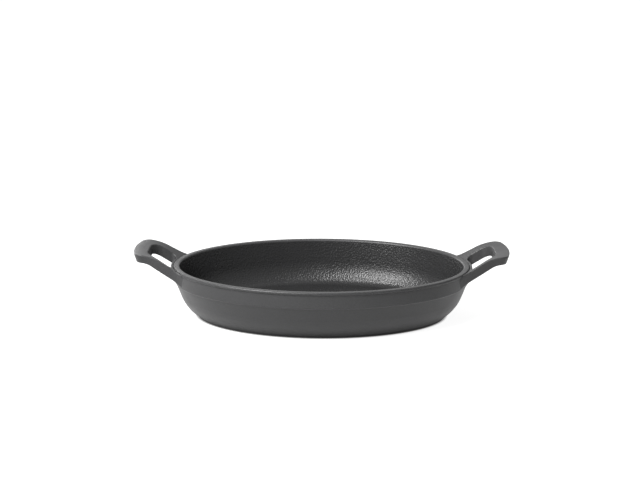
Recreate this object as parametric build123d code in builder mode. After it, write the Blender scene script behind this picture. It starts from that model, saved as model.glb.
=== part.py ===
from build123d import *
from math import asin, atan2, cos, hypot, radians, sin, tan
import os

# Oval gratin dish of enamelled cast iron. The bowl, its foot ring and both loop handles are one
# casting, and the enamel is a thin coat over it: one coat outside, one inside the bowl and one
# under the base. Lengths are in millimetres, angles in degrees.
# The origin is the middle of the foot ring's bearing plane. X runs from handle to handle, Z up.
# A cross-section of the wall is given by setback, measured inwards and square to the rim from
# the rim's outermost line, and by height above the bearing plane.

# Overall sizes, taken over the enamel
rim_length = 250.0
rim_width = 170.0
rim_height = 44.0
overall_length = 315.0
handle_height = 57.7
floor_height = 6.4

# Thickness of the enamel, and how far up the foot ring the iron is left bare
enamel_thickness = 0.3
bare_foot_height = 0.8

# All further sizes are those of the bare iron.
# Rim: a rounded bead that stands a little proud of the band below it
rim_thickness = 4.6
rim_outer_round = 0.8
rim_inner_round = 1.2
lip_height = 1.5
lip_overhang = 0.8
lip_round = 0.45

# Band below the rim, which ends in a small step above the flank of the bowl
band_draft = 0.1
step_height = 30.7
step_depth = 0.8
step_round = 0.5

# Flank and curve of the bowl's wall
flank_angle = 20.5
curve_start_height = 18.0
curve_radius = 33.7
wall_thickness = 3.9

# Turn from wall to floor, foot ring and the shallow recess under the base
floor_round = 9.3
floor_sink = 0.04
foot_height = 2.7
foot_batter = 2.0
foot_round = 0.8
foot_width = 7.0
recess_depth = 1.7
recess_draft = 30.0

# Loop handles, seen from above: an arm on each side of the slot and a bowed grip at the end
grip_width = 53.0
grip_bow = 4.5
grip_corner_radius = 7.0
grip_depth = 11.0
arm_straight_length = 16.0
arm_spread = 2.6
arm_bend_radius = 30.0
root_gusset_radius = 20.0
root_depth = 0.7

# Slot of the handle, at the height of the grip's top; it narrows downwards with its draft
slot_width = 35.6
slot_spread = 4.7
slot_corner_radius = 11.5
slot_root_radius = 6.2
slot_root_depth = 0.4
slot_draft = 10.0

# Loop handles, seen from the side: they climb away from the rim and level out at the grip
handle_drop = 1.3
handle_angle = 35.3
handle_top_radius = 29.7
arm_thickness = 7.0
grip_thickness = 6.6
handle_under_radius = 16.3
haunch_radius = 24.0
haunch_turn = 22.0
haunch_depth = 0.9

# Outer sides of the handles: from just under the top edge they lean in towards the underside
side_lean = 1.7
side_lean_height = 5.6

# Rounded edges of the handles: along the top, along the outside below and along the slot below
top_edge_round = 0.45
under_edge_round = 0.9
slot_under_round = 0.4

# Depth inside the wall at which the handles end
seat_depth = 2.6

# How far cutters and hidden ends run past what they cut or meet
overrun = 3.0

# A face whose normal rises or falls by less than this share of its length counts as a wall
wall_share = 0.4

# The iron lies one coat inside the overall sizes
half_length = rim_length / 2 - enamel_thickness
half_width = rim_width / 2 - enamel_thickness
rim_top = rim_height - enamel_thickness
reach = overall_length / 2 - enamel_thickness
handle_top = handle_height - enamel_thickness
floor_top = floor_height - enamel_thickness

# The handles follow the circle that fits the rim at its ends
end_radius = half_width**2 / half_length
end_centre = half_length - end_radius

# The bowl's curve is an arc about one centre, shared by its outer, middle and inner lines
band_setback = lip_overhang + band_draft
flank_top_setback = band_setback + step_depth
flank_top_height = step_height - step_depth
flank = radians(flank_angle)
curve_start_setback = flank_top_setback + (flank_top_height - curve_start_height) * tan(flank)
curve_centre_setback = curve_start_setback + curve_radius * cos(flank)
curve_centre_height = curve_start_height + curve_radius * sin(flank)


def on_curve(depth, angle):
    """Setback and height on the bowl's curve, at a depth under its outer face."""
    radius = curve_radius - depth
    return (
        curve_centre_setback - radius * cos(angle),
        curve_centre_height - radius * sin(angle),
    )


def angle_at_height(depth, height):
    """Angle on the bowl's curve where the line at that depth comes down to a height."""
    return asin((curve_centre_height - height) / (curve_radius - depth))


def place(point):
    """Turn setback and height into the sketch's coordinates on the plane of the long axis."""
    setback, height = point
    return (half_length - setback, height)


foot_angle = angle_at_height(0, foot_height)
foot_top = on_curve(0, foot_angle)
foot_slope = foot_batter / foot_height
foot_setback = foot_top[0] + foot_batter

floor_angle = angle_at_height(wall_thickness, floor_top - floor_sink)
floor_edge = on_curve(wall_thickness, floor_angle)
core_setback = foot_setback + foot_width + floor_round

# The inner wall runs straight from the rim and meets the inner curve without a corner
inner_top_height = rim_top - rim_inner_round
to_centre_setback = curve_centre_setback - rim_thickness
to_centre_drop = inner_top_height - curve_centre_height
to_centre = hypot(to_centre_setback, to_centre_drop)
inner_angle = atan2(to_centre_setback, to_centre_drop) - asin(
    (curve_radius - wall_thickness) / to_centre
)


def flip(point):
    """The same point on the other side of the long axis."""
    return (point[0], -point[1])


def oval(setback):
    """Half sizes of the oval that lies at a setback inside the rim."""
    return (half_length - setback, half_width - setback)


def rim_path():
    """The rim's outermost oval, drawn on the bearing plane, which the wall follows."""
    return Edge.make_ellipse(half_length, half_width)


def vertex_at(sketch, point):
    """The corner of a sketch that lies nearest to a point of the cross-section."""
    return sketch.vertices().sort_by_distance(Vector(*place(point)))[0]


def wall_section(coat):
    """Closed cross-section of the wall with its foot and the outer part of the floor."""
    below = -overrun
    foot_low = (foot_setback + overrun * foot_slope, below)
    curve_start = on_curve(0, flank)
    curve_middle = on_curve(0, (flank + foot_angle) / 2)
    flank_top = (flank_top_setback, flank_top_height)
    band_low = (band_setback, step_height)
    band_top = (lip_overhang, rim_top - lip_height - lip_overhang)
    lip_edge = (0, rim_top - lip_height)
    outer_round_start = (0, rim_top - rim_outer_round)
    outer_round_end = (rim_outer_round, rim_top)
    inner_round_start = (rim_thickness - rim_inner_round, rim_top)
    inner_round_end = (rim_thickness, inner_top_height)
    inner_start = on_curve(wall_thickness, inner_angle)
    inner_middle = on_curve(wall_thickness, (inner_angle + floor_angle) / 2)
    core_top = (core_setback, floor_edge[1])
    core_low = (core_setback, below)

    with BuildSketch(Plane.XZ) as section:
        with BuildLine():
            Line(place(foot_low), place(foot_top))
            ThreePointArc(place(foot_top), place(curve_middle), place(curve_start))
            Line(place(curve_start), place(flank_top))
            Line(place(flank_top), place(band_low))
            Line(place(band_low), place(band_top))
            Line(place(band_top), place(lip_edge))
            Line(place(lip_edge), place(outer_round_start))
            TangentArc(place(outer_round_start), place(outer_round_end), tangent=(0, 1))
            Line(place(outer_round_end), place(inner_round_start))
            TangentArc(place(inner_round_start), place(inner_round_end), tangent=(-1, 0))
            Line(place(inner_round_end), place(inner_start))
            ThreePointArc(place(inner_start), place(inner_middle), place(floor_edge))
            Line(place(floor_edge), place(core_top))
            Line(place(core_top), place(core_low))
            Line(place(core_low), place(foot_low))
        make_face()
        fillet(vertex_at(section, foot_top), foot_round)
        fillet([vertex_at(section, p) for p in (flank_top, band_low)], step_round)
        fillet([vertex_at(section, p) for p in (band_top, lip_edge)], lip_round)
        fillet(vertex_at(section, floor_edge), floor_round)
        if coat:
            offset(amount=coat)
    return section.sketch


def bowl_form(coat):
    """The bowl with a coat of a given thickness: none for the bare iron."""
    section = wall_section(coat)
    path = rim_path()
    with BuildPart() as bowl:
        sweep(section, path=path, is_frenet=True)
        with BuildSketch(Plane.XY.offset(-overrun / 2)):
            Ellipse(*oval(foot_setback))
        extrude(amount=floor_top + coat + overrun / 2)
        split(bisect_by=Plane.XY, keep=Keep.TOP)
        with BuildSketch(Plane.XY):
            Ellipse(*oval(foot_setback + foot_width + coat))
        extrude(amount=recess_depth - coat, taper=recess_draft, mode=Mode.SUBTRACT)
    return bowl.part


def handle_plan(coat):
    """Outline of the handle at the +X end, seen from above, with a disc for its root."""
    grip_half = grip_width / 2
    arm_start = reach - arm_straight_length
    arm_slope = arm_spread / (arm_start - half_length)
    corner = (reach - grip_bow, grip_half)
    bend = (arm_start, grip_half)
    root = (end_centre, grip_half + arm_slope * (arm_start - end_centre))
    with BuildSketch() as plan:
        with BuildLine():
            Line(flip(root), flip(bend))
            Line(flip(bend), flip(corner))
            ThreePointArc(flip(corner), (reach, 0), corner)
            Line(corner, bend)
            Line(bend, root)
            Line(root, flip(root))
        make_face()
        fillet(plan.vertices().group_by(Axis.X)[-1], grip_corner_radius)
        bends = plan.vertices().sort_by_distance(bend)[:1]
        bends += plan.vertices().sort_by_distance(flip(bend))[:1]
        fillet(bends, arm_bend_radius)
        with Locations((end_centre, 0)):
            Circle(end_radius - root_depth)
        springs = plan.vertices().filter_by_position(Axis.X, end_centre, half_length)
        springs = springs.filter_by_position(Axis.Y, -grip_width, grip_width)
        fillet(springs, root_gusset_radius)
        if coat:
            offset(amount=coat, kind=Kind.INTERSECTION)
    return plan.sketch


def slot_form(coat):
    """The open slot of the handle at the +X end, with a coat of a given thickness on its walls."""
    grown = overrun * tan(radians(slot_draft)) - coat
    slot_half = slot_width / 2 + grown
    slot_end = reach - grip_depth + grown
    slot_slope = slot_spread / (slot_end - half_length)
    slot_corner = (slot_end, slot_half)
    slot_root = (end_centre, slot_half + slot_slope * (slot_end - end_centre))
    with BuildPart() as slot:
        with BuildSketch(Plane.XY.offset(handle_top + overrun)) as outline:
            with BuildLine():
                Line(flip(slot_root), flip(slot_corner))
                Line(flip(slot_corner), slot_corner)
                Line(slot_corner, slot_root)
                Line(slot_root, flip(slot_root))
            make_face()
            fillet(outline.vertices().group_by(Axis.X)[-1], slot_corner_radius + grown)
            with Locations((end_centre, 0)):
                Circle(end_radius - slot_root_depth - grown, mode=Mode.SUBTRACT)
            fillet(outline.vertices().group_by(Axis.X)[0], slot_root_radius + grown)
        extrude(amount=step_height - handle_top - overrun, taper=slot_draft)
    return slot.part


def handle_profile(coat):
    """Side view of the handle: the band of height it fills, by distance out from the rim's end."""
    climb = radians(handle_angle)
    rise = tan(climb)
    root_top_height = rim_top - handle_drop
    lower_height = handle_top - grip_thickness

    # The upper and lower lines climb side by side, and each levels out through its own arc
    top_run = handle_top_radius * sin(climb)
    top_bend_height = handle_top - handle_top_radius * (1 - cos(climb))
    top_bend = half_length + (top_bend_height - root_top_height) / rise
    under_run = handle_under_radius * sin(climb)
    root_under_height = root_top_height - arm_thickness / cos(climb)
    under_bend_height = lower_height - handle_under_radius * (1 - cos(climb))
    under_bend = half_length + (under_bend_height - root_under_height) / rise
    inner = half_length - seat_depth - overrun
    inner_top_line = root_top_height - (half_length - inner) * rise
    outer = reach + overrun

    # The underside comes down steeper at the root, in a haunch that meets the band
    steep = climb + radians(haunch_turn)
    haunch_run = haunch_radius * (sin(steep) - sin(climb))
    haunch_start = half_length - haunch_depth + haunch_run
    haunch_height = root_under_height + (haunch_start - half_length) * rise
    haunch_low = haunch_height - haunch_radius * (cos(climb) - cos(steep))
    inner_under_line = haunch_low - (half_length - haunch_depth - inner) * tan(steep)

    with BuildSketch(Plane.XZ) as profile:
        with BuildLine():
            Line((inner, inner_under_line), (half_length - haunch_depth, haunch_low))
            TangentArc(
                (half_length - haunch_depth, haunch_low),
                (haunch_start, haunch_height),
                tangent=(cos(steep), sin(steep)),
            )
            Line((haunch_start, haunch_height), (under_bend, under_bend_height))
            TangentArc(
                (under_bend, under_bend_height),
                (under_bend + under_run, lower_height),
                tangent=(cos(climb), sin(climb)),
            )
            Line((under_bend + under_run, lower_height), (outer, lower_height))
            Line((outer, lower_height), (outer, handle_top))
            Line((outer, handle_top), (top_bend + top_run, handle_top))
            TangentArc(
                (top_bend + top_run, handle_top),
                (top_bend, top_bend_height),
                tangent=(-1, 0),
            )
            Line((top_bend, top_bend_height), (inner, inner_top_line))
            Line((inner, inner_top_line), (inner, inner_under_line))
        make_face()
        if coat:
            offset(amount=coat, kind=Kind.INTERSECTION)
    return profile.sketch


def is_wall(face):
    """Whether a face is steep, as the sides of the handle and its slot are."""
    return abs(face.normal_at().Z) < wall_share


def is_slot_wall(face):
    """Whether a steep face belongs to the handle's slot."""
    middle = face.center()
    slot_half = slot_width / 2 + slot_spread
    in_slot = end_centre < middle.X < reach - grip_depth / 2 and abs(middle.Y) < slot_half
    return is_wall(face) and in_slot


def is_outer_wall(face):
    """Whether a steep face belongs to the outside of the handle."""
    middle = face.center()
    from_axis = hypot(middle.X - end_centre, middle.Y)
    return is_wall(face) and not is_slot_wall(face) and from_axis > end_radius - seat_depth


def edges_along(handle, is_edge_wall, rises):
    """The edges where walls of one kind meet the faces that rise, or that fall for -1."""
    walls = handle.faces().filter_by(is_edge_wall)
    others = handle.faces().filter_by(lambda face: face.normal_at().Z * rises > wall_share)
    borders = others.edges()
    return walls.edges().filter_by(lambda edge: edge in borders)


def handle_form(coat):
    """The handle at the +X end with a coat of a given thickness."""
    plan = handle_plan(coat)
    profile = handle_profile(coat)
    slot = slot_form(coat)
    root_half = grip_width / 2 + arm_spread + root_gusset_radius / 2
    end_axis = Axis((end_centre, 0, 0), (0, 0, 1))

    # Both sizes of the lean grow with the coat, so that it is as thick there as elsewhere
    lean_length = hypot(side_lean, side_lean_height)
    lean_growth = (side_lean + side_lean_height - lean_length) / (side_lean * side_lean_height)
    lean_scale = 1 + coat * lean_growth
    with BuildPart() as handle:
        extrude(plan, amount=handle_top + overrun)
        revolve(profile, axis=end_axis, mode=Mode.INTERSECT)
        add(slot, mode=Mode.SUBTRACT)

        # The edges are worked while the ring round the rim's end is still whole
        fillet(edges_along(handle, is_wall, 1), top_edge_round + coat)
        fillet(edges_along(handle, is_slot_wall, -1), slot_under_round + coat)

        # The lean starts from the edge under the grip's end and runs all the way round
        tip_edge = edges_along(handle, is_outer_wall, -1).sort_by(Axis.X)[-1]
        tip_faces = handle.faces().filter_by(lambda face: tip_edge in face.edges())
        chamfer(
            tip_edge,
            side_lean * lean_scale,
            length2=side_lean_height * lean_scale,
            reference=tip_faces.sort_by(Axis.Z)[0],
        )
        fillet(edges_along(handle, is_outer_wall, -1), under_edge_round + coat)
        with BuildSketch():
            with Locations((half_length, 0)):
                Rectangle(2 * end_radius, 2 * root_half)
            with Locations((end_centre, 0)):
                Circle(end_radius - seat_depth, mode=Mode.SUBTRACT)
        extrude(amount=handle_top + overrun, mode=Mode.INTERSECT)
    return handle.part


def dish_form(coat):
    """The whole dish with a coat of a given thickness, standing on its foot ring."""
    bowl = bowl_form(coat)
    handle = handle_form(coat)
    with BuildPart() as dish:
        add(bowl)
        add(handle)
        mirror(handle, about=Plane.YZ)
    return dish.part


def lining_form():
    """All that lies inside the middle of the wall and floor, up to where the lining ends."""
    wall_middle = wall_thickness / 2
    floor_middle = (floor_top + recess_depth) / 2
    low_angle = angle_at_height(wall_middle, floor_middle)
    start = on_curve(wall_middle, flank)
    turn = on_curve(wall_middle, (flank + low_angle) / 2)
    low = on_curve(wall_middle, low_angle)
    top = (rim_thickness / 2, inner_top_height)
    path = rim_path()
    with BuildPart() as lining:
        with BuildSketch(Plane.XZ):
            with BuildLine():
                Line(place(low), place((core_setback, floor_middle)))
                Line(place((core_setback, floor_middle)), place((core_setback, top[1])))
                Line(place((core_setback, top[1])), place(top))
                Line(place(top), place(start))
                ThreePointArc(place(start), place(turn), place(low))
            make_face()
        sweep(path=path, is_frenet=True)
        with BuildSketch(Plane.XY.offset(floor_middle - recess_depth / 2)):
            Ellipse(*oval(core_setback - floor_round / 2))
        extrude(amount=floor_top)
    return lining.part


def base_form():
    """All that lies inside the middle of the foot ring, up to the middle of the floor."""
    with BuildPart() as base:
        with BuildSketch():
            Ellipse(*oval(foot_setback + foot_width / 2))
        extrude(amount=(floor_top + recess_depth) / 2)
    return base.part


iron = dish_form(0)
finished = dish_form(enamel_thickness)
lining = lining_form()
base = base_form()

with BuildPart() as iron_casting:
    add(iron)

# The coat lies between the iron and the finished surface, and leaves the foot's face bare
with BuildPart() as coat:
    add(finished)
    add(iron, mode=Mode.SUBTRACT)
    split(bisect_by=Plane.XY.offset(bare_foot_height), keep=Keep.TOP)

with BuildPart() as inner_enamel:
    add(coat.part)
    add(lining, mode=Mode.INTERSECT)

with BuildPart() as base_enamel:
    add(coat.part)
    add(base, mode=Mode.INTERSECT)

with BuildPart() as outer_enamel:
    add(coat.part)
    add([lining, base], mode=Mode.SUBTRACT)

pieces = {
    "iron_casting": iron_casting,
    "outer_enamel": outer_enamel,
    "inner_enamel": inner_enamel,
    "base_enamel": base_enamel,
}

os.makedirs("parts", exist_ok=True)
for name, piece in pieces.items():
    piece.part.label = name
    export_step(piece.part, f"parts/{name}.step")
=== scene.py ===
from math import cos, pi, sin

import bpy
from mathutils import Matrix, Vector

bl_info = {
    "name": "Gratin Dish",
    "version": (1, 0, 0),
    "blender": (4, 5, 0),
    "location": "3D View > Sidebar > Gratin Dish",
    "description": "Enamel and iron finishes and a small photo studio for an oval gratin dish",
    "category": "Material",
}

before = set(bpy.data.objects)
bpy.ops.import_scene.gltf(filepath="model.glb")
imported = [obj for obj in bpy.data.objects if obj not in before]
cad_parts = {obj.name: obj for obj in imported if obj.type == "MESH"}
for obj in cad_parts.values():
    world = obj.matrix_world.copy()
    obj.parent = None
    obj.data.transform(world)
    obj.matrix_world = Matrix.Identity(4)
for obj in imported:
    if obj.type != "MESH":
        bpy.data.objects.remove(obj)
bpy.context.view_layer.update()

# Lengths are in metres, apart from the sensor's

# Most values of a noise lie in this range, and grinding marks are cut a little harder
NOISE_RANGE = (0.3, 0.7)
MARKS_RANGE = (0.35, 0.65)

# Satin enamel: darkest and lightest tone as shares of its colour, and how its dullness wanders
SATIN_TONES = (0.88, 1.12)
SATIN_DULLNESS = (-0.03, 0.03)
SATIN_CLOUD_SIZE = 0.012
SATIN_IOR = 1.5
SATIN_SPECULAR = 0.45

# Painted shade in inner corners, darkening the enamel's colour: how open the corner is there,
# and the tone that this gives
CORNER_SHADE_OPENNESS = (0.5, 0.98)
CORNER_SHADE_TONES = (0.1, 1.0)
CORNER_SHADE_SAMPLES = 8

# Matt lining enamel, with grit finer and lower than its orange peel
MATT_TONES = (0.8, 1.3)
MATT_DULLNESS = (-0.03, 0.05)
MATT_CLOUD_SIZE = 0.02
MATT_IOR = 1.45
MATT_SPECULAR = 0.42
GRIT_SIZE_SHARE = 0.35
GRIT_HEIGHT_SHARE = 0.3

# Bare iron of the foot, ground lengthwise
IRON_TONES = (0.75, 1.2)
IRON_DULLNESS = (-0.08, 0.1)
IRON_METALLIC = 0.9
IRON_GRAIN_SIZE = 0.0009
IRON_GRAIN_HEIGHT = 0.00003
MARKS_HEIGHT = 0.00002
MARKS_STRETCH = (0.08, 1.0, 1.0)

# Floor of white paper, a hair under the foot, so that no two faces lie in one plane
FLOOR_GAP = 0.00005
FLOOR_RING_SHARES = (0.05, 0.15, 0.4, 1.0)
FLOOR_STEPS = 96
PAPER_ROUGHNESS = 0.9

# Glow of the paper, seen straight and in the gloss of the dish, and how near the dish it
# fades: a painted contact shadow, also in the gloss
SEEN_GLOW = 0.92
SEEN_SHADOW_REACH = 0.002
GLOSS_GLOW = 0.85
GLOSS_SHADOW_REACH = 0.008

# Room as the gloss of the dish shows it: dim one way and white the other way
ROOM_WHITE_WAY = (-0.58, 0.81, 0.0)
ROOM_GLOSS = (0.25, 1.0)

# Lights: where the middle of each one hangs, how large it is, and the spot that it looks at
SOFTBOX_PLACE = (-0.55, -0.5, 0.95)
CORE_PLACE = (-0.54, -0.49, 0.935)
SOFTBOX_TALL_SHARE = 1.25
LOW_PLACE = (-0.617, -0.773, 0.593)
LOW_SIZE = (0.32, 0.3)
BACK_PLACE = (-0.75, 1.15, 0.38)
BACK_SIZE = (0.8, 0.5)
DISH_SPOT = (0.0, 0.0, 0.03)
FAR_WALL_SPOT = (0.05, 0.05, 0.03)

# Camera: width and middle of the picture in pixels, width of the sensor in millimetres, pixels
# that a metre of the dish spans from any distance, and the pixel on which the dish's middle
# falls. Turn and roll are in radians
PICTURE_WIDTH = 640.0
PICTURE_MIDDLE = (319.5, 239.5)
SENSOR_WIDTH = 36.0
DISH_SCALE = 1175.9
DISH_PIXEL = (320.880, 287.589)
DISH_MIDDLE_HEIGHT = 0.02236
CAMERA_TURN = 0.0129
CAMERA_ROLL = 0.0025
CAMERA_REACH = (0.01, 100.0)


class SatinEnamelSettings(bpy.types.PropertyGroup):
    """The smooth dark grey enamel on the outside, the rim and the handles."""

    colour: bpy.props.FloatVectorProperty(
        name="Colour",
        description="Colour of the outer enamel",
        subtype="COLOR",
        size=3,
        min=0.0,
        max=1.0,
        default=(0.036, 0.036, 0.037),
    )
    roughness: bpy.props.FloatProperty(
        name="Roughness",
        description="How satin the outer enamel is, from mirror to dull",
        subtype="FACTOR",
        min=0.0,
        max=1.0,
        default=0.42,
    )
    grain_size: bpy.props.FloatProperty(
        name="Grain size",
        description="Width of one swell of the cast surface under the enamel",
        subtype="DISTANCE",
        unit="LENGTH",
        min=0.0002,
        max=0.01,
        default=0.0011,
    )
    grain_height: bpy.props.FloatProperty(
        name="Grain height",
        description="How far the cast surface swells under the enamel",
        subtype="DISTANCE",
        unit="LENGTH",
        min=0.0,
        max=0.001,
        precision=5,
        default=0.00004,
    )
    # Painted shade: how far from an inner corner the colour of the enamel is darkened
    corner_shade_reach: bpy.props.FloatProperty(
        name="Painted corner shade",
        description="How far from an inner corner the enamel looks darker",
        subtype="DISTANCE",
        unit="LENGTH",
        min=0.0001,
        max=0.02,
        default=0.003,
    )


class MattEnamelSettings(bpy.types.PropertyGroup):
    """The rough matt enamel that lines the bowl."""

    colour: bpy.props.FloatVectorProperty(
        name="Colour",
        description="Colour of the lining enamel",
        subtype="COLOR",
        size=3,
        min=0.0,
        max=1.0,
        default=(0.021, 0.021, 0.0215),
    )
    roughness: bpy.props.FloatProperty(
        name="Roughness",
        description="How matt the lining enamel is",
        subtype="FACTOR",
        min=0.0,
        max=1.0,
        default=0.27,
    )
    peel_size: bpy.props.FloatProperty(
        name="Peel size",
        description="Width of one dimple of the orange-peel surface",
        subtype="DISTANCE",
        unit="LENGTH",
        min=0.0003,
        max=0.01,
        default=0.0012,
    )
    peel_height: bpy.props.FloatProperty(
        name="Peel height",
        description="Depth of the dimples of the orange-peel surface",
        subtype="DISTANCE",
        unit="LENGTH",
        min=0.0,
        max=0.001,
        precision=5,
        default=0.00028,
    )


class BareIronSettings(bpy.types.PropertyGroup):
    """The ground iron of the foot, which has no enamel."""

    colour: bpy.props.FloatVectorProperty(
        name="Colour",
        description="Colour of the bare iron",
        subtype="COLOR",
        size=3,
        min=0.0,
        max=1.0,
        default=(0.16, 0.155, 0.15),
    )
    roughness: bpy.props.FloatProperty(
        name="Roughness",
        description="How dull the ground iron is",
        subtype="FACTOR",
        min=0.0,
        max=1.0,
        default=0.5,
    )
    scratch_size: bpy.props.FloatProperty(
        name="Scratch width",
        description="Width of one grinding mark on the foot",
        subtype="DISTANCE",
        unit="LENGTH",
        min=0.0001,
        max=0.005,
        default=0.0006,
    )


class StudioSettings(bpy.types.PropertyGroup):
    """The floor, the soft lights and the camera."""

    backdrop: bpy.props.FloatVectorProperty(
        name="Backdrop",
        description="Colour of the floor and the backdrop",
        subtype="COLOR",
        size=3,
        min=0.0,
        max=1.0,
        default=(0.32, 0.32, 0.32),
    )
    floor_radius: bpy.props.FloatProperty(
        name="Floor radius",
        description="Radius of the round floor",
        subtype="DISTANCE",
        unit="LENGTH",
        min=0.5,
        max=20.0,
        default=6.0,
    )
    room_light: bpy.props.FloatProperty(
        name="Room light",
        description="Strength of the light that comes from all round",
        min=0.0,
        max=2.0,
        default=0.25,
    )
    softbox_power: bpy.props.FloatProperty(
        name="Softbox power",
        description="Power of the softbox over the dish",
        subtype="POWER",
        unit="POWER",
        min=0.0,
        max=200.0,
        default=18.0,
    )
    softbox_side: bpy.props.FloatProperty(
        name="Softbox side",
        description="Length of one side of the softbox over the dish",
        subtype="DISTANCE",
        unit="LENGTH",
        min=0.1,
        max=3.0,
        default=0.52,
    )
    core_power: bpy.props.FloatProperty(
        name="Softbox core power",
        description="Power of the bright middle of the softbox over the dish",
        subtype="POWER",
        unit="POWER",
        min=0.0,
        max=200.0,
        default=4.5,
    )
    core_side: bpy.props.FloatProperty(
        name="Softbox core side",
        description="Length of one side of the bright middle of the softbox",
        subtype="DISTANCE",
        unit="LENGTH",
        min=0.05,
        max=3.0,
        default=0.22,
    )
    low_power: bpy.props.FloatProperty(
        name="Low softbox power",
        description="Power of the dim softbox low in front of the dish on the left",
        subtype="POWER",
        unit="POWER",
        min=0.0,
        max=200.0,
        default=2.4,
    )
    back_power: bpy.props.FloatProperty(
        name="Back light power",
        description="Power of the soft light behind the dish on the left",
        subtype="POWER",
        unit="POWER",
        min=0.0,
        max=200.0,
        default=5.0,
    )
    camera_distance: bpy.props.FloatProperty(
        name="Camera distance",
        description="Distance from the camera to the middle of the dish",
        subtype="DISTANCE",
        unit="LENGTH",
        min=0.3,
        max=10.0,
        default=1.05,
    )
    camera_elevation: bpy.props.FloatProperty(
        name="Camera elevation",
        description="Height of the camera above the horizon, as an angle",
        subtype="ANGLE",
        unit="ROTATION",
        min=-pi / 2,
        max=pi / 2,
        default=0.2951,
    )


def new_material(name):
    """An empty node material: the material, its tree and its shader."""
    material = bpy.data.materials.new(name)
    material.use_nodes = True
    tree = material.node_tree
    tree.nodes.clear()
    output = tree.nodes.new("ShaderNodeOutputMaterial")
    shader = tree.nodes.new("ShaderNodeBsdfPrincipled")
    tree.links.new(shader.outputs["BSDF"], output.inputs["Surface"])
    return material, tree, shader


def surface_place(tree):
    """The place of each point on the dish, in metres."""
    return tree.nodes.new("ShaderNodeTexCoord").outputs["Object"]


def noise(tree, place, size, detail, rough=0.5):
    """A cloud of noise whose swells are about size wide."""
    node = tree.nodes.new("ShaderNodeTexNoise")
    node.inputs["Scale"].default_value = 1.0 / size
    node.inputs["Detail"].default_value = detail
    node.inputs["Roughness"].default_value = rough
    tree.links.new(place, node.inputs["Vector"])
    return node.outputs["Fac"]


def cells(tree, place, size):
    """The distance to the middle of soft cells about size wide."""
    node = tree.nodes.new("ShaderNodeTexVoronoi")
    node.feature = "SMOOTH_F1"
    node.inputs["Scale"].default_value = 1.0 / size
    node.inputs["Smoothness"].default_value = 1.0
    tree.links.new(place, node.inputs["Vector"])
    return node.outputs["Distance"]


def spread(tree, value, given, wanted=(0.0, 1.0)):
    """A value moved from the range that is given to the range that is wanted."""
    node = tree.nodes.new("ShaderNodeMapRange")
    node.inputs["From Min"].default_value = given[0]
    node.inputs["From Max"].default_value = given[1]
    node.inputs["To Min"].default_value = wanted[0]
    node.inputs["To Max"].default_value = wanted[1]
    tree.links.new(value, node.inputs["Value"])
    return node.outputs["Result"]


def around(middle, drift):
    """The range that drifts below and above a middle value."""
    return middle + drift[0], middle + drift[1]


def mottled(tree, share, colour, tones):
    """A colour that goes from its darkest to its lightest tone with share."""
    node = tree.nodes.new("ShaderNodeMix")
    node.data_type = "RGBA"
    for socket, tone in zip(("A", "B"), tones):
        node.inputs[socket].default_value = (*(min(1.0, part * tone) for part in colour), 1.0)
    tree.links.new(share, node.inputs["Factor"])
    return node.outputs["Result"]


def bump(tree, height, distance, under=None):
    """A surface raised by height times distance, on top of another one."""
    node = tree.nodes.new("ShaderNodeBump")
    node.inputs["Strength"].default_value = 1.0
    node.inputs["Distance"].default_value = distance
    tree.links.new(height, node.inputs["Height"])
    if under is not None:
        tree.links.new(under, node.inputs["Normal"])
    return node.outputs["Normal"]


def combine(tree, operation, first, second):
    """Two values combined by an operation of the Math node."""
    node = tree.nodes.new("ShaderNodeMath")
    node.operation = operation
    tree.links.new(first, node.inputs[0])
    tree.links.new(second, node.inputs[1])
    return node.outputs["Value"]


def painted_corner_shade(tree, colour, reach):
    """A colour darkened within reach of an inner corner: painted shade where the corner is
    closed in.
    """
    openness = tree.nodes.new("ShaderNodeAmbientOcclusion")
    openness.samples = CORNER_SHADE_SAMPLES
    openness.only_local = True
    openness.inputs["Distance"].default_value = reach
    node = tree.nodes.new("ShaderNodeVectorMath")
    node.operation = "SCALE"
    tone = spread(tree, openness.outputs["AO"], CORNER_SHADE_OPENNESS, CORNER_SHADE_TONES)
    tree.links.new(colour, node.inputs[0])
    tree.links.new(tone, node.inputs["Scale"])
    return node.outputs["Vector"]


def finish_node(name, material):
    """Gives a solid of the dish its finish."""
    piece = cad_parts[name]
    piece.data.materials.clear()
    piece.data.materials.append(material)


def satin_enamel(settings):
    """Dark grey satin enamel over the fine grain of the casting, with painted shade in its
    inner corners.
    """
    material, tree, shader = new_material("satin_enamel")
    place = surface_place(tree)
    swell = noise(tree, place, settings.grain_size, detail=3.0, rough=0.55)
    cloud = noise(tree, place, SATIN_CLOUD_SIZE, detail=2.0)
    tone = spread(tree, swell, NOISE_RANGE)
    colour = mottled(tree, tone, settings.colour, SATIN_TONES)
    # The base colour carries painted shade in the inner corners
    tree.links.new(painted_corner_shade(tree, colour, settings.corner_shade_reach), shader.inputs["Base Color"])
    dull = spread(tree, cloud, NOISE_RANGE, around(settings.roughness, SATIN_DULLNESS))
    tree.links.new(dull, shader.inputs["Roughness"])
    tree.links.new(bump(tree, swell, settings.grain_height), shader.inputs["Normal"])
    shader.inputs["IOR"].default_value = SATIN_IOR
    shader.inputs["Specular IOR Level"].default_value = SATIN_SPECULAR
    return material


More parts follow.
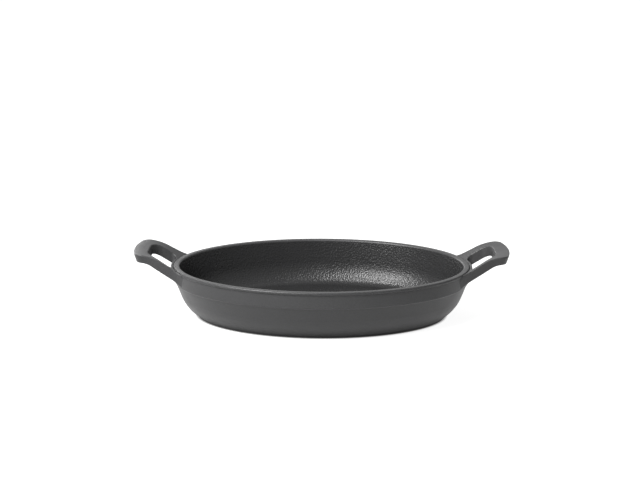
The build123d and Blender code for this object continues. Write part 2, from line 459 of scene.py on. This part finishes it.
def matt_enamel(settings):
    """Matt black enamel with an orange-peel surface and fine grit."""
    material, tree, shader = new_material("matt_enamel")
    place = surface_place(tree)
    peel = cells(tree, place, settings.peel_size)
    grit = noise(tree, place, settings.peel_size * GRIT_SIZE_SHARE, detail=2.0, rough=0.6)
    cloud = noise(tree, place, MATT_CLOUD_SIZE, detail=2.0)
    tone = spread(tree, grit, NOISE_RANGE)
    colour = mottled(tree, tone, settings.colour, MATT_TONES)
    tree.links.new(colour, shader.inputs["Base Color"])
    dull = spread(tree, cloud, NOISE_RANGE, around(settings.roughness, MATT_DULLNESS))
    tree.links.new(dull, shader.inputs["Roughness"])
    dimples = bump(tree, peel, settings.peel_height)
    gritty = bump(tree, grit, settings.peel_height * GRIT_HEIGHT_SHARE, dimples)
    tree.links.new(gritty, shader.inputs["Normal"])
    shader.inputs["IOR"].default_value = MATT_IOR
    shader.inputs["Specular IOR Level"].default_value = MATT_SPECULAR
    return material


def bare_iron(settings):
    """Ground grey iron with the marks of grinding along the foot."""
    material, tree, shader = new_material("bare_iron")
    place = surface_place(tree)
    stretch = tree.nodes.new("ShaderNodeMapping")
    stretch.inputs["Scale"].default_value = MARKS_STRETCH
    tree.links.new(place, stretch.inputs["Vector"])
    along = stretch.outputs["Vector"]
    marks = noise(tree, along, settings.scratch_size, detail=3.0, rough=0.6)
    grain = noise(tree, place, IRON_GRAIN_SIZE, detail=3.0, rough=0.6)
    tone = spread(tree, marks, MARKS_RANGE)
    colour = mottled(tree, tone, settings.colour, IRON_TONES)
    tree.links.new(colour, shader.inputs["Base Color"])
    dull = spread(tree, grain, NOISE_RANGE, around(settings.roughness, IRON_DULLNESS))
    tree.links.new(dull, shader.inputs["Roughness"])
    scratched = bump(tree, marks, MARKS_HEIGHT)
    grainy = bump(tree, grain, IRON_GRAIN_HEIGHT, scratched)
    tree.links.new(grainy, shader.inputs["Normal"])
    shader.inputs["Metallic"].default_value = IRON_METALLIC
    return material


class DISH_OT_outer_enamel(bpy.types.Operator):
    """Give the outside, the rim and the handles their satin enamel"""

    bl_idname = "dish.outer_enamel"
    bl_label = "Outer enamel"

    def execute(self, context):
        finish_node("outer_enamel", satin_enamel(context.scene.dish_satin))
        return {"FINISHED"}


class DISH_OT_inner_enamel(bpy.types.Operator):
    """Give the lining of the bowl its rough matt enamel"""

    bl_idname = "dish.inner_enamel"
    bl_label = "Lining enamel"

    def execute(self, context):
        finish_node("inner_enamel", matt_enamel(context.scene.dish_matt))
        return {"FINISHED"}


class DISH_OT_base_enamel(bpy.types.Operator):
    """Give the recess under the dish its satin enamel"""

    bl_idname = "dish.base_enamel"
    bl_label = "Base enamel"

    def execute(self, context):
        finish_node("base_enamel", satin_enamel(context.scene.dish_satin))
        return {"FINISHED"}


class DISH_OT_iron_casting(bpy.types.Operator):
    """Give the bare foot of the casting its ground iron"""

    bl_idname = "dish.iron_casting"
    bl_label = "Iron casting"

    def execute(self, context):
        finish_node("iron_casting", bare_iron(context.scene.dish_iron))
        return {"FINISHED"}


def round_floor(radius):
    """A flat round floor just under the foot, as a fan inside rings."""
    points = [(0.0, 0.0, 0.0)]
    for share in FLOOR_RING_SHARES:
        for step in range(FLOOR_STEPS):
            turn = 2 * pi * step / FLOOR_STEPS
            points.append((radius * share * cos(turn), radius * share * sin(turn), 0.0))
    faces = [(0, 1 + step, 1 + (step + 1) % FLOOR_STEPS) for step in range(FLOOR_STEPS)]
    for ring in range(len(FLOOR_RING_SHARES) - 1):
        inner = 1 + ring * FLOOR_STEPS
        outer = inner + FLOOR_STEPS
        for step in range(FLOOR_STEPS):
            after = (step + 1) % FLOOR_STEPS
            faces.append((inner + step, outer + step, outer + after, inner + after))
    mesh = bpy.data.meshes.new("studio_floor")
    mesh.from_pydata(points, [], faces)
    floor = bpy.data.objects.new("studio_floor", mesh)
    floor.location.z = -FLOOR_GAP
    bpy.context.scene.collection.objects.link(floor)
    return floor


def glow(tree, seen, strength, shadow_reach):
    """The glow of the paper for one kind of ray, fading close to what stands on it: a painted
    contact shadow.
    """
    painted_contact_shadow = tree.nodes.new("ShaderNodeAmbientOcclusion")
    painted_contact_shadow.inputs["Distance"].default_value = shadow_reach
    share = spread(tree, seen, (0.0, 1.0), (0.0, strength))
    return combine(tree, "MULTIPLY", painted_contact_shadow.outputs["AO"], share)


def floor_material(colour):
    """White paper that keeps the shadow of the dish, with a painted contact shadow in its
    glow, and burns out to white.
    """
    material, tree, shader = new_material("studio_paper")
    shader.inputs["Base Color"].default_value = (*colour, 1.0)
    shader.inputs["Roughness"].default_value = PAPER_ROUGHNESS
    shader.inputs["Emission Color"].default_value = (1.0, 1.0, 1.0, 1.0)
    rays = tree.nodes.new("ShaderNodeLightPath").outputs
    seen = combine(tree, "MAXIMUM", rays["Is Camera Ray"], rays["Is Transmission Ray"])
    # Both glows fade near the dish: a painted contact shadow, seen straight and in the gloss
    straight = glow(tree, seen, SEEN_GLOW, SEEN_SHADOW_REACH)
    in_gloss = glow(tree, rays["Is Glossy Ray"], GLOSS_GLOW, GLOSS_SHADOW_REACH)
    strength = combine(tree, "ADD", straight, in_gloss)
    tree.links.new(strength, shader.inputs["Emission Strength"])
    return material


def room_strength(tree, room_light):
    """White behind the dish and, in its gloss, dimmer towards the front right of the room."""
    rays = tree.nodes.new("ShaderNodeLightPath").outputs
    seen = combine(tree, "MAXIMUM", rays["Is Camera Ray"], rays["Is Transmission Ray"])
    along = tree.nodes.new("ShaderNodeVectorMath")
    along.operation = "DOT_PRODUCT"
    along.inputs[1].default_value = ROOM_WHITE_WAY
    place = tree.nodes.new("ShaderNodeTexCoord")
    tree.links.new(place.outputs["Generated"], along.inputs[0])
    gloss = spread(tree, along.outputs["Value"], (-1.0, 1.0), ROOM_GLOSS)
    soft = tree.nodes.new("ShaderNodeMix")
    soft.inputs["A"].default_value = room_light
    tree.links.new(gloss, soft.inputs["B"])
    tree.links.new(rays["Is Glossy Ray"], soft.inputs["Factor"])
    whole = tree.nodes.new("ShaderNodeMix")
    whole.inputs["B"].default_value = 1.0
    tree.links.new(soft.outputs["Result"], whole.inputs["A"])
    tree.links.new(seen, whole.inputs["Factor"])
    return whole.outputs["Result"]


def soft_light(name, width, height, power, place, target):
    """A soft light that looks at a spot and isn't seen by the camera."""
    lamp = bpy.data.lights.new(name, "AREA")
    lamp.shape = "RECTANGLE"
    lamp.size = width
    lamp.size_y = height
    lamp.energy = power
    light = bpy.data.objects.new(name, lamp)
    light.location = place
    light.rotation_euler = (Vector(target) - Vector(place)).to_track_quat("-Z", "Y").to_euler()
    light.visible_camera = False
    bpy.context.scene.collection.objects.link(light)


def aim_camera(distance, rise):
    """A camera at the height, turn and framing of the photograph."""
    lens = bpy.data.cameras.new("studio_camera")
    lens.sensor_width = SENSOR_WIDTH
    lens.lens = DISH_SCALE * distance * SENSOR_WIDTH / PICTURE_WIDTH
    lens.shift_x = (PICTURE_MIDDLE[0] - DISH_PIXEL[0]) / PICTURE_WIDTH
    lens.shift_y = (DISH_PIXEL[1] - PICTURE_MIDDLE[1]) / PICTURE_WIDTH
    lens.clip_start, lens.clip_end = CAMERA_REACH
    camera = bpy.data.objects.new("studio_camera", lens)
    spin = Matrix.Rotation(CAMERA_TURN, 4, "Z")
    height = DISH_MIDDLE_HEIGHT + distance * sin(rise)
    place = spin @ Vector((0.0, -distance * cos(rise), height))
    camera.matrix_world = (
        Matrix.Translation(place)
        @ spin
        @ Matrix.Rotation(pi / 2 - rise, 4, "X")
        @ Matrix.Rotation(CAMERA_ROLL, 4, "Z")
    )
    bpy.context.scene.collection.objects.link(camera)
    bpy.context.scene.camera = camera


class DISH_OT_studio(bpy.types.Operator):
    """Build the floor, the backdrop, the lights and the camera"""

    bl_idname = "dish.studio"
    bl_label = "Studio"

    def execute(self, context):
        scene = context.scene
        settings = scene.dish_studio
        scene.view_settings.view_transform = "Standard"

        floor = round_floor(settings.floor_radius)
        floor.data.materials.append(floor_material(settings.backdrop))

        world = bpy.data.worlds.new("studio_room")
        world.use_nodes = True
        tree = world.node_tree
        background = tree.nodes["Background"]
        background.inputs["Color"].default_value = (1.0, 1.0, 1.0, 1.0)
        tree.links.new(room_strength(tree, settings.room_light), background.inputs["Strength"])
        scene.world = world

        softbox_size = (settings.softbox_side, settings.softbox_side * SOFTBOX_TALL_SHARE)
        core_size = (settings.core_side, settings.core_side * SOFTBOX_TALL_SHARE)
        lights = (
            ("softbox_over", *softbox_size, settings.softbox_power, SOFTBOX_PLACE, DISH_SPOT),
            ("softbox_core", *core_size, settings.core_power, CORE_PLACE, DISH_SPOT),
            ("softbox_low", *LOW_SIZE, settings.low_power, LOW_PLACE, FAR_WALL_SPOT),
            ("softbox_back", *BACK_SIZE, settings.back_power, BACK_PLACE, DISH_SPOT),
        )
        for light in lights:
            soft_light(*light)
        aim_camera(settings.camera_distance, settings.camera_elevation)
        return {"FINISHED"}


class DISH_PT_panel(bpy.types.Panel):
    """The finishes of the dish and its studio"""

    bl_idname = "DISH_PT_panel"
    bl_label = "Gratin Dish"
    bl_space_type = "VIEW_3D"
    bl_region_type = "UI"
    bl_category = "Gratin Dish"

    def draw(self, context):
        scene = context.scene
        parts = (
            (scene.dish_satin, ("dish.outer_enamel", "dish.base_enamel")),
            (scene.dish_matt, ("dish.inner_enamel",)),
            (scene.dish_iron, ("dish.iron_casting",)),
            (scene.dish_studio, ("dish.studio",)),
        )
        for settings, operators in parts:
            box = self.layout.box()
            for name in settings.bl_rna.properties.keys():
                if name not in ("rna_type", "name"):
                    box.prop(settings, name)
            for operator in operators:
                box.operator(operator)


SETTINGS = (
    ("dish_satin", SatinEnamelSettings),
    ("dish_matt", MattEnamelSettings),
    ("dish_iron", BareIronSettings),
    ("dish_studio", StudioSettings),
)
OPERATORS = (
    DISH_OT_iron_casting,
    DISH_OT_outer_enamel,
    DISH_OT_inner_enamel,
    DISH_OT_base_enamel,
    DISH_OT_studio,
)


def register():
    for name, group in SETTINGS:
        bpy.utils.register_class(group)
        setattr(bpy.types.Scene, name, bpy.props.PointerProperty(type=group))
    for operator in OPERATORS:
        bpy.utils.register_class(operator)
    bpy.utils.register_class(DISH_PT_panel)


def unregister():
    bpy.utils.unregister_class(DISH_PT_panel)
    for operator in reversed(OPERATORS):
        bpy.utils.unregister_class(operator)
    for name, group in reversed(SETTINGS):
        delattr(bpy.types.Scene, name)
        bpy.utils.unregister_class(group)


def main():
    register()
    bpy.ops.dish.iron_casting()
    bpy.ops.dish.outer_enamel()
    bpy.ops.dish.inner_enamel()
    bpy.ops.dish.base_enamel()
    bpy.ops.dish.studio()


if __name__ == "__main__":
    main()
